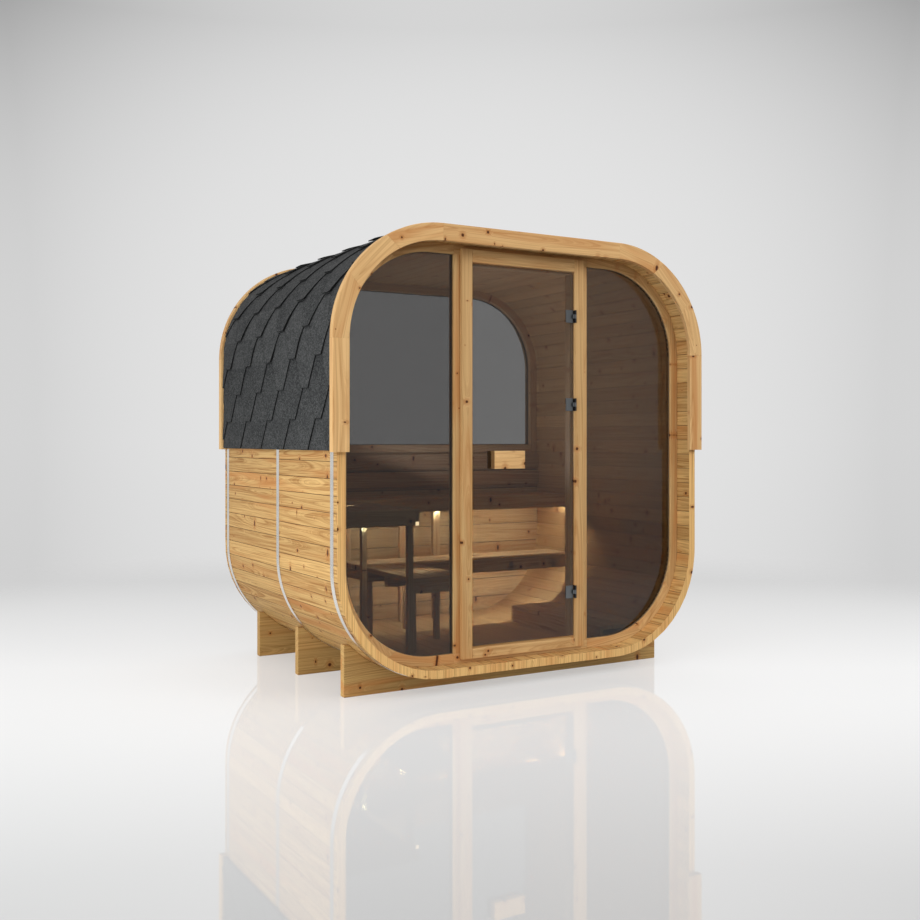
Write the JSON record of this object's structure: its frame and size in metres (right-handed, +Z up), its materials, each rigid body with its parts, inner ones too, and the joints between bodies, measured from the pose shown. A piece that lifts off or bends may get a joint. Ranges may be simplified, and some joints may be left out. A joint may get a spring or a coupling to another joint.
{
  "type": "cube sauna",
  "caption": "Rounded-square sauna of wooden staves on three saddles, with a shingled roof, a glazed front wall, a hinged glass door and a back window.",
  "frame": {"origin": "on the ground under the middle of the shell, between the two ends", "axes": "+X to the right as seen from in front of the door, +Y from the front end to the back, +Z up; the front faces -Y"},
  "size_m": [2.16, 1.596, 2.21],
  "materials": {
    "saddle_wood": "planed boards, oiled",
    "stave_wood": "planed softwood staves",
    "band_steel": "bright stainless strip",
    "shingle": "mineral-surfaced bitumen shingles, charcoal",
    "trim_wood": "planed softwood",
    "frame_wood": "planed softwood",
    "tinted_glass": "bronze-grey tinted pane",
    "bench_wood": "planed softwood",
    "warm_light": "warm light strip",
    "hinge_metal": "dark satin",
    "door_glass": "bronze-grey tempered pane",
    "handle_wood": "planed softwood blocks"
  },
  "bodies": {
    "cabin": {"saddle_front": "saddle_wood", "saddle_middle": "saddle_wood", "saddle_back": "saddle_wood", "floor_staves": "stave_wood", "ceiling_staves": "stave_wood", "left_wall_staves": "stave_wood", "right_wall_staves": "stave_wood", "corner_bottom_left": "stave_wood", "corner_bottom_right": "stave_wood", "corner_top_left": "stave_wood", "corner_top_right": "stave_wood", "bands": "band_steel", "roof_covering": "shingle", "front_trim_top": "trim_wood", "front_trim_corner_left": "trim_wood", "front_trim_corner_right": "trim_wood", "front_trim_leg_left": "trim_wood", "front_trim_leg_right": "trim_wood", "back_trim_top": "trim_wood", "back_trim_corner_left": "trim_wood", "back_trim_corner_right": "trim_wood", "back_trim_leg_left": "trim_wood", "back_trim_leg_right": "trim_wood", "front_frame_left": "frame_wood", "front_frame_right": "frame_wood", "front_head_rail": "frame_wood", "front_bottom_rail": "frame_wood", "door_post_left": "frame_wood", "door_post_right": "frame_wood", "door_casing": "frame_wood", "back_frame": "frame_wood", "back_rail": "frame_wood", "back_boards": "frame_wood", "front_window_left": "tinted_glass", "front_window_right": "tinted_glass", "back_window": "tinted_glass", "side_step": "bench_wood", "upper_bench": "bench_wood", "lower_bench": "bench_wood", "bench_posts": "bench_wood", "backrest": "bench_wood", "bench_lights": "warm_light", "hinge_bases": "hinge_metal"},
    "door": {"hinge_leaves": "hinge_metal", "door_glass": "door_glass", "door_handle": "handle_wood"}
  },
  "joints": [
    {"name": "door_hinge", "type": "hinge", "parent": "cabin", "child": "door", "pos_m": [0.304, -0.709, 1.125], "axis": [0, 0, 1], "range_deg": [0, 110]}
  ]
}
